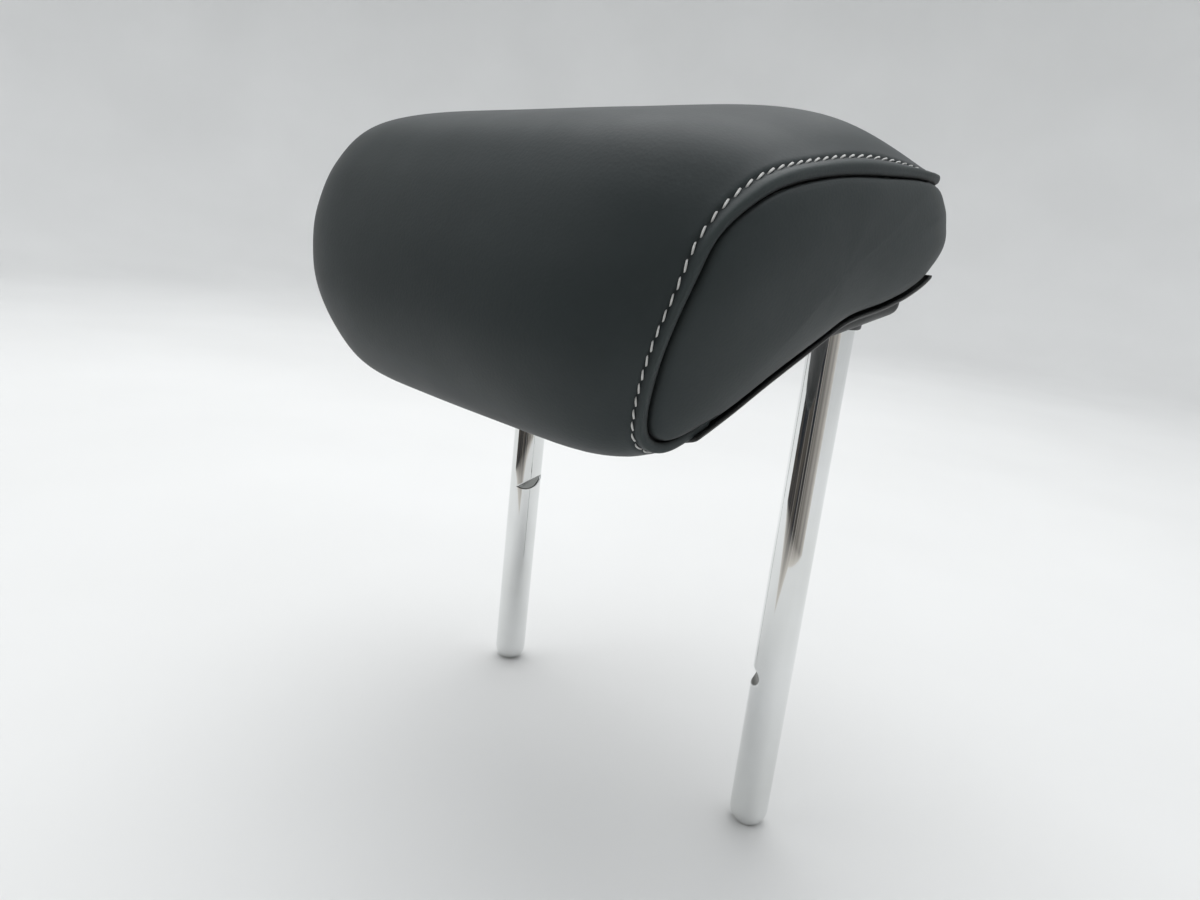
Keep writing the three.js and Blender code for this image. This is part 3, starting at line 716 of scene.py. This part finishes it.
def side_rear_panel():
    """The leather of both sides and the back, tucked under the top panel's edge."""
    cap_rows = CAP * (1 - (1 - np.linspace(0, 1, 46)) ** 1.7)
    strip_rows = np.linspace(CAP, CAP + ACROSS, 111)[1:-1]
    rows = np.concatenate([cap_rows, strip_rows, 2 * CAP + ACROSS - cap_rows[::-1]])
    columns = np.linspace(0, AROUND, 421)[:-1]
    j, m = np.meshgrid(columns, rows, indexing="ij")
    u = u_of_column(j) % 1
    on_strip = (m >= CAP) & (m <= CAP + ACROSS)
    s = np.interp((np.clip(m, CAP, CAP + ACROSS) - CAP) / ACROSS * 2 - 1, ZETA_TABLE, S_TABLE)
    points = form.at(j, m)
    gap = distance_to(points.reshape(-1, 3), edge_line(form)).reshape(j.shape)
    front = (u > U_LIP) & (u < U_UNDER)
    covered = on_strip & ~front & (inside_edge(s, u) > 0)
    q = np.where(covered, -gap, gap)
    q = np.where(on_strip & front, np.maximum(q, FRONT_GAP), q)
    sunk = np.interp(q, [a for a, _ in SUNK], [b for _, b in SUNK])
    points = points + form.normal(j, m) * sunk[..., None]
    keep = (q > -UNDER_TOP) & ~(on_strip & front & (np.abs(s) < OPEN_HALF))
    index = np.arange(j.size).reshape(j.shape)
    faces = []
    for c in range(len(columns)):
        d = (c + 1) % len(columns)
        for k in range(len(rows) - 1):
            if keep[c, k] and keep[d, k] and keep[c, k + 1] and keep[d, k + 1]:
                faces.append((index[c, k], index[d, k], index[d, k + 1], index[c, k + 1]))
    made = new_object("side_rear_panel", points.reshape(-1, 3), faces)
    set_attribute(made, "wear", np.zeros(j.size))
    # Painted shade where the leather dips into the seam and runs on under the top panel.
    set_attribute(made, "painted_seam_shade", np.clip((1.4 - q) / 1.4, 0, 1).reshape(-1))
    tidy_mesh(made)
    solidify = made.modifiers.new("Thickness", "SOLIDIFY")
    solidify.thickness = SIDE_THICKNESS * MM
    solidify.offset = -1
    return apply_modifiers(made)


# ---- foam ----
FOAM_DEPTH = 5.0


def foam_block():
    """The foam inside the cover, a plain closed form with no pocket for the core."""
    columns = np.arange(AROUND)
    rows = np.arange(2 * CAP + ACROSS + 1)
    j, m = np.meshgrid(columns, rows, indexing="ij")
    points = form.at(j, m) - form.normal(j, m) * FOAM_DEPTH
    faces = grid_faces(len(columns), len(rows))
    index = np.arange(j.size).reshape(j.shape)
    faces += [(index[-1, k], index[0, k], index[0, k + 1], index[-1, k + 1]) for k in range(len(rows) - 1)]
    return tidy_mesh(new_object("foam_block", points.reshape(-1, 3), faces), 0.5)


# ---- stitches ----
THREAD_RADIUS = 0.30
STITCH_LENGTH = 3.6
STITCH_SLANT = 0.8          # how far one end of a stitch steps sideways
STITCH_LIFT = 0.22          # height of a stitch's middle above the leather's surface
STITCH_DIVE = 0.6           # how far its ends go down


def stitch_row():
    """Points on the surface along the row of stitches, the way inwards at each, and the normals."""
    stations, _, _ = edge_path()
    line = np.array([panel_point(station, STITCH_INSET) for station in stations])
    inner = np.array([panel_point(station, STITCH_INSET + 1) for station in stations])
    points = on_form(line[:, 0], line[:, 1], np.zeros(len(line)))
    across = on_form(inner[:, 0], inner[:, 1], np.zeros(len(line))) - points
    normals = form.normal(column_of_u(line[:, 1]), row_of_s(line[:, 0]))
    return points, across / np.linalg.norm(across, axis=1, keepdims=True), normals


def stitches():
    """Slanted thread stitches, each a bent tube with closed ends."""
    points, across, normals = stitch_row()
    rings, sides = 9, 8
    verts, faces = [], []
    bend = np.linspace(-1, 1, rings)
    for first in range(0, len(points) - STATIONS_PER_STITCH, STATIONS_PER_STITCH):
        a, b = points[first], points[first + STATIONS_PER_STITCH]
        side = (across[first] + across[first + STATIONS_PER_STITCH]) / 2
        up = (normals[first] + normals[first + STATIONS_PER_STITCH]) / 2
        middle = (points[first + 1] + points[first + 2]) / 2
        along = (b - a) / np.linalg.norm(b - a)
        base = len(verts)
        for k, t in enumerate(bend):
            sag = (middle - (a + b) / 2) * (1 - t * t)
            lift = STITCH_LIFT - STITCH_DIVE * abs(t) ** 6
            slant = side * t * STITCH_SLANT / 2
            centre = (a + b) / 2 + along * t * STITCH_LENGTH / 2 + sag + slant + up * lift
            width = THREAD_RADIUS * (1 - 0.35 * t ** 6)
            for q in range(sides):
                turn = 2 * math.pi * q / sides + 0.9 * t
                flat = 1 + 0.14 * math.cos(2 * (2 * math.pi * q / sides))
                verts.append(centre + (side * math.cos(turn) + up * 0.8 * math.sin(turn)) * width * flat)
        faces += grid_faces(rings, sides, base, close_columns=True)
        faces.append([base + q for q in range(sides)][::-1])
        faces.append([base + (rings - 1) * sides + q for q in range(sides)])
    made = new_object("topstitch_row", np.array(verts), faces)
    bm = bmesh.new()
    bm.from_mesh(made.data)
    bmesh.ops.recalc_face_normals(bm, faces=bm.faces)
    bm.to_mesh(made.data)
    bm.free()
    return made


# ---- steel stay ----
POST_X = 74.0
POST_RADIUS = 7.0
CROSSBAR_Z = 216.0
BEND_RADIUS = 22.0
END_FLAT = 3.6              # radius of the flat at a post's lower end
END_HEIGHT = 6.0            # height of its rounding
SIDES = 96
# Detent notches: which post, height, the direction they face in degrees, and how deep they go.
ROUND_NOTCH = {"x": 74, "z": 59, "heading": -140, "depth": 2.2, "radius": 3.8}
VEE_NOTCH = {"x": -74, "z": 91, "heading": -8, "depth": 3.6, "slope": 0.575, "tilt": 22}


def notch_limit(x, z, angle):
    """The post's radius where a detent notch cuts it, at height z and direction angle (degrees)."""
    limit = np.full(np.broadcast(z, angle).shape, POST_RADIUS)
    for notch in (ROUND_NOTCH, VEE_NOTCH):
        if notch["x"] != x:
            continue
        turn = np.radians(angle - notch["heading"])
        off = z - notch["z"]
        if "radius" in notch:
            r = notch["radius"]
            cut = notch["depth"] - r + np.sqrt(np.maximum(r * r - off ** 2, 0))
        else:
            tilt = math.radians(notch["tilt"])
            off = off * math.cos(tilt) - POST_RADIUS * np.sin(turn) * math.sin(tilt)
            cut = notch["depth"] - np.abs(off) / notch["slope"]
        flat = (POST_RADIUS - np.maximum(cut, 0)) / np.maximum(np.cos(turn), 0.05)
        limit = np.where((np.cos(turn) > 0.05) & (cut > 0), np.minimum(limit, flat), limit)
    return limit


def stay_mesh():
    """The bar as one tube: up the right post, across inside the cushion and down the left post."""
    angles = np.arange(SIDES) / SIDES * 360
    spin = np.radians(angles)

    def post_rows(x):
        rows = []
        for k in range(9):
            turn = k / 8 * math.pi / 2
            radius = END_FLAT + (POST_RADIUS - END_FLAT) * math.sin(turn)
            rows.append((END_HEIGHT * (1 - math.cos(turn)), radius))
        notch = ROUND_NOTCH if x > 0 else VEE_NOTCH
        centre, reach, step = notch["z"], 8.0, 0.2
        plain = list(np.arange(9, centre - reach, 4.0))
        fine = list(np.arange(centre - reach, centre + reach + step / 2, step))
        rest = list(np.arange(centre + reach + 3, CROSSBAR_Z - BEND_RADIUS, 4.0))
        rows += [(z, POST_RADIUS) for z in plain + fine + rest]
        made = []
        for z, radius in rows:
            limit = np.minimum(notch_limit(x, z, angles), radius)
            made.append(np.stack([x + limit * np.cos(spin), limit * np.sin(spin), np.full(SIDES, z)], -1))
        return made

    def bend_rows():
        made = []
        for k in range(17):
            turn = k / 16 * math.pi / 2
            x = POST_X - BEND_RADIUS * (1 - math.cos(turn))
            z = CROSSBAR_Z - BEND_RADIUS * (1 - math.sin(turn))
            off = POST_RADIUS * np.cos(spin)
            ring = [x + off * math.cos(turn), POST_RADIUS * np.sin(spin), z + off * math.sin(turn)]
            made.append(np.stack(ring, -1))
        return made

    right = post_rows(POST_X) + bend_rows()
    left_post = post_rows(-POST_X)
    mirrored = [row[(SIDES // 2 - np.arange(SIDES)) % SIDES] for row in left_post]
    left_bend = [row * np.array([-1, 1, 1]) for row in bend_rows()]
    rings = right + left_bend[::-1] + mirrored[::-1]
    points = np.concatenate(rings)
    faces = grid_faces(len(rings), SIDES, close_columns=True)
    faces.append(list(range(SIDES))[::-1])
    faces.append([(len(rings) - 1) * SIDES + k for k in range(SIDES)])
    made = new_object("chromed_stay", points, faces)
    side = np.sign(points[:, 0]) * POST_X
    cut = POST_RADIUS - np.hypot(points[:, 0] - side, points[:, 1])
    in_post = (points[:, 2] > END_HEIGHT + 1) & (points[:, 2] < CROSSBAR_Z - BEND_RADIUS)
    bareness = np.where(side > 0, 1.0, 0.4)
    set_attribute(made, "cut", np.where(in_post, np.clip(cut / 0.3, 0, 1) * bareness, 0))
    return tidy_mesh(made, 0.001)


# ---- closeout under the cushion ----
SKIN_HEIGHT = 1.4           # how far the skin's face stands below the leather
SKIN_THICKNESS = 1.3
SKIN_MARGIN = 1.2           # from the skin's side edge to the side of the cushion
SKIN_BACK = 17.2 / ROWS     # the skin's rear edge, as a fraction of the loop
PAD_FRONT, PAD_BACK = -28.0, 25.0
# The pad's lower face is one sloping plane, through this height at this y and this height at its back.
FACE_Y = -22
FACE_LOW, FACE_HIGH = 182, 192.2
PAD_HALF = 85.5
PAD_RADIUS = 3.0
PAD_CORNER = 9.0
BUSH_INNER, BUSH_OUTER = 7.15, 8.7
BUSH_LOW, BUSH_HIGH = 185.2, 193.4
SCREW_Y = -8
SCREW_PLACES = (-44, 0, 44)


def pad_floor(y):
    """Height of the pad's lower face."""
    return FACE_LOW + (FACE_HIGH - FACE_LOW) * (y - FACE_Y) / (PAD_BACK - FACE_Y)


def rounded_rectangle(x0, x1, y0, y1, radius, steps=10):
    points = []
    for cx, cy, start in ((x1 - radius, y1 - radius, 0), (x0 + radius, y1 - radius, 90),
                          (x0 + radius, y0 + radius, 180), (x1 - radius, y0 + radius, 270)):
        for k in range(steps + 1):
            turn = math.radians(start + 90 * k / steps)
            points.append((cx + radius * math.cos(turn), cy + radius * math.sin(turn)))
    return np.array(points)


def closeout_skin():
    """The moulded sheet over the cushion's underside, with rounded edges."""
    u = np.linspace(U_LIP - 0.3 / ROWS, SKIN_BACK, 150)
    across = np.sin(np.linspace(-math.pi / 2, math.pi / 2, 121))
    across, u = np.meshgrid(across, u)
    s = across * (1 - SKIN_MARGIN / half_width(u))
    side_gap = (1 - np.abs(across)) * half_width(u)
    end_gap = np.minimum(u - u.min(), u.max() - u) * LOOP_LENGTH
    rounding = np.interp(np.minimum(side_gap, end_gap), [0, 0.3, 0.9, 2], [-0.5, -0.2, -0.04, 0])
    points = on_form(s, u, SKIN_HEIGHT + rounding)
    made = new_object("closeout_skin", points.reshape(-1, 3), grid_faces(*s.shape))
    tidy_mesh(made)
    solidify = made.modifiers.new("Thickness", "SOLIDIFY")
    solidify.thickness = SKIN_THICKNESS * MM
    solidify.offset = -1
    return apply_modifiers(made)


def closeout_pad():
    """The thick block round the posts, a solid with no bores, with a rounded lower edge."""
    turns = np.linspace(0, math.pi / 2, 7)[1:]
    section = [(0, 14), (0, 6), (0, PAD_RADIUS)]
    section += [(PAD_RADIUS * (1 - math.cos(a)), PAD_RADIUS * (1 - math.sin(a))) for a in turns] + [(5, 0)]
    rings = []
    for inset, lift in section:
        plan = rounded_rectangle(-PAD_HALF + inset, PAD_HALF - inset, PAD_FRONT + inset, PAD_BACK - inset,
                                 max(PAD_CORNER - inset, 1))
        rings.append(np.column_stack([plan, pad_floor(plan[:, 1]) + lift]))
    count = len(rings[0])
    faces = grid_faces(len(rings), count, close_columns=True)
    faces.append(list(range(count)))
    faces.append([(len(rings) - 1) * count + k for k in range(count)][::-1])
    return tidy_mesh(new_object("closeout_pad", np.concatenate(rings), faces))


def lathe(name, profile, x, y, sides=48):
    """A turned piece on a vertical axis from (radius, height) points that close on themselves."""
    turn = np.arange(sides) / sides * 2 * math.pi
    rings = [np.stack([x + r * np.cos(turn), y + r * np.sin(turn), np.full(sides, z)], -1)
             for r, z in profile]
    faces = grid_faces(len(rings), sides, close_columns=True)
    return tidy_mesh(new_object(name, np.concatenate(rings), faces), 0.005)


def post_bush(x, name):
    """The ring round a post where it enters the closeout."""
    r0, r1, z0, z1 = BUSH_INNER, BUSH_OUTER, BUSH_LOW, BUSH_HIGH
    profile = [(r0, z1), (r0, z0 + 0.6), (r0 + 0.4, z0 + 0.1), (r0 + 0.9, z0), (r1 - 0.8, z0),
               (r1 - 0.2, z0 + 0.25), (r1, z0 + 0.9), (r1, z1), (r0, z1)]
    return lathe(name, profile, x, 0)


def screw_head(x, y, name):
    """A round screw head with a recess, set into the pad's lower face."""
    z = float(pad_floor(y)) + 0.7
    profile = [(0, z - 0.6), (1.1, z - 0.6), (1.3, z - 1.9), (1.7, z - 2.1), (2.4, z - 1.9), (3.0, z - 1.2),
               (3.2, z), (3.2, z + 0.4), (0, z + 0.4)]
    return lathe(name, profile, x, y)


# ---- pieces ----
top = dress(top_panel(), "leather", "centre_cover", "seam_tape_left", "seam_tape_right")
sides = dress(side_rear_panel(), "leather", "side_cover_left", "side_cover_right", "rear_cover")
foam = dress(foam_block(), "foam", "foam_pad")
dress(stitches(), "thread", "topstitch_left", "topstitch_right")
dress(stay_mesh(), "chrome", "steel_stay")
dress(closeout_skin(), "trim", "lower_closeout")
dress(closeout_pad(), "trim")
for x, label in ((-POST_X, "left"), (POST_X, "right")):
    dress(post_bush(x, f"bush_{label}"), "trim", f"post_bush_{label}")
for i, x in enumerate(SCREW_PLACES, 1):
    dress(screw_head(x, SCREW_Y, f"closeout_screw_head_{i}"), "screw", f"closeout_screw_{i}")

SLOT_OF_NODE = {row["node"]: row["material_slot"] for row in frame["record"]["subparts"]}
for name, cad_node in frame["nodes"].items():
    if not cad_node.hide_render:
        cad_node.data.materials.clear()
        cad_node.data.materials.append(MATERIALS[SLOT_OF_NODE[name]])

# ---- camera, floor and light ----
CAMERA_PLACE = (0.2270, -0.2488, 0.2072)
CAMERA_AZIMUTH = 45.56
CAMERA_ELEVATION = 14.22
CAMERA_ROLL = 6.50
CAMERA_LENS = 25.95
CARD_RADIUS = 390.0
FLOOR_FLAT = 1.8            # metres, as are the next two
FLOOR_CURVE = 0.9
WALL_TOP = 2.6
FLOOR_SIDES = 96


def make_camera():
    data = bpy.data.cameras.new("camera")
    data.lens = CAMERA_LENS
    data.sensor_width = 36
    data.clip_start = 0.01
    made = bpy.data.objects.new("camera", data)
    bpy.context.scene.collection.objects.link(made)
    turn = Matrix.Rotation(math.radians(CAMERA_AZIMUTH), 4, "Z")
    tip = Matrix.Rotation(math.radians(90 - CAMERA_ELEVATION), 4, "X")
    roll = Matrix.Rotation(math.radians(CAMERA_ROLL), 4, "Z")
    made.matrix_world = Matrix.Translation(CAMERA_PLACE) @ turn @ tip @ roll
    bpy.context.scene.camera = made


def make_floor():
    """A pale floor that curves up all round into a wall."""
    profile = [(0.0, 0.0), (0.6, 0.0), (1.2, 0.0), (FLOOR_FLAT, 0.0)]
    profile += [(FLOOR_FLAT + FLOOR_CURVE * math.sin(a), FLOOR_CURVE * (1 - math.cos(a)))
                for a in np.linspace(0, math.pi / 2, 13)[1:]]
    profile.append((FLOOR_FLAT + FLOOR_CURVE, WALL_TOP))
    turn = np.arange(FLOOR_SIDES) / FLOOR_SIDES * 2 * math.pi
    rings = [np.stack([r * np.cos(turn), r * np.sin(turn), np.full(FLOOR_SIDES, z)], -1) / MM
             for r, z in profile]
    faces = grid_faces(len(rings), FLOOR_SIDES, close_columns=True)
    made = tidy_mesh(new_object("floor", np.concatenate(rings), faces), 1)
    finish, tree, shader = material("floor", (0.74, 0.74, 0.73), 0.75)
    tone = mix_colours(tree, remap(tree, noise(tree, 3, 3), 0.3, 0.7, 0, 1),
                       (0.72, 0.72, 0.71), (0.76, 0.76, 0.75))
    tree.links.new(tone, shader.inputs["Base Color"])
    made.data.materials.append(finish)


def make_dark_card():
    """A dark curved screen in front of the object that only reflections show, in place of a room."""
    azimuth = np.radians(np.linspace(-139, -8, 132))
    reach = np.interp(np.degrees(azimuth), [-139, -118, -84, -60, -8], [0, 60, 190, 70, 0])
    rows = [(CARD_RADIUS - reach, 0.8), (CARD_RADIUS - reach / 2, 0.8)]
    rows += [(np.full(len(azimuth), CARD_RADIUS), z) for z in (0.8, 300, 600, 900)]
    points = np.array([np.column_stack([r * np.cos(azimuth), r * np.sin(azimuth), np.full(len(r), z)])
                       for r, z in rows])
    made = new_object("dark_card", points.reshape(-1, 3), grid_faces(len(rows), len(azimuth)))
    pale = np.interp(np.degrees(azimuth),
                     [-139, -96, -94, -92, -72, -70, -67, -58, -56, -53, -48, -40, -30, -22, -8],
                     [0, 0, 0.3, 0, 0, 0.45, 0, 0, 0.6, 0.1, 0.3, 0.2, 0.5, 0.4, 1])
    fade = np.array([1.0, 0.5, 0, 0, 0, 0])[:, None]
    set_attribute(made, "pale", (fade + (1 - fade) * pale).reshape(-1))
    finish, tree, shader = material("dark_card", (0.02, 0.021, 0.025), 0.9)
    dark = mix_colours(tree, remap(tree, noise(tree, 9, 3), 0.4, 0.6, 0, 1),
                       (0.010, 0.012, 0.018), (0.07, 0.06, 0.05))
    streaked = mix_colours(tree, attribute(tree, "pale"), dark, (0.62, 0.58, 0.53))
    tree.links.new(streaked, shader.inputs["Base Color"])
    made.data.materials.append(finish)
    made.visible_camera = False
    made.visible_diffuse = False
    made.visible_shadow = False


def area_light(name, place, target, size, power):
    data = bpy.data.lights.new(name, "AREA")
    data.shape = "RECTANGLE"
    data.size, data.size_y = size
    data.energy = power
    made = bpy.data.objects.new(name, data)
    bpy.context.scene.collection.objects.link(made)
    made.location = place
    made.rotation_euler = (Vector(target) - Vector(place)).to_track_quat("-Z", "Y").to_euler()


make_camera()
make_floor()
make_dark_card()
area_light("overhead", (-0.38, 0.25, 1.6), (0, 0, 0.15), (1.6, 1.6), 17.5)
area_light("front_fill", (-1.1, -1.3, 1.2), (0, 0, 0.18), (1.2, 1.0), 3.5)

world = bpy.data.worlds.new("studio")
world.use_nodes = True
world.node_tree.nodes["Background"].inputs["Color"].default_value = (0.93, 0.96, 1.0, 1)
world.node_tree.nodes["Background"].inputs["Strength"].default_value = 0.93
bpy.context.scene.world = world
bpy.context.scene.view_settings.view_transform = "Standard"
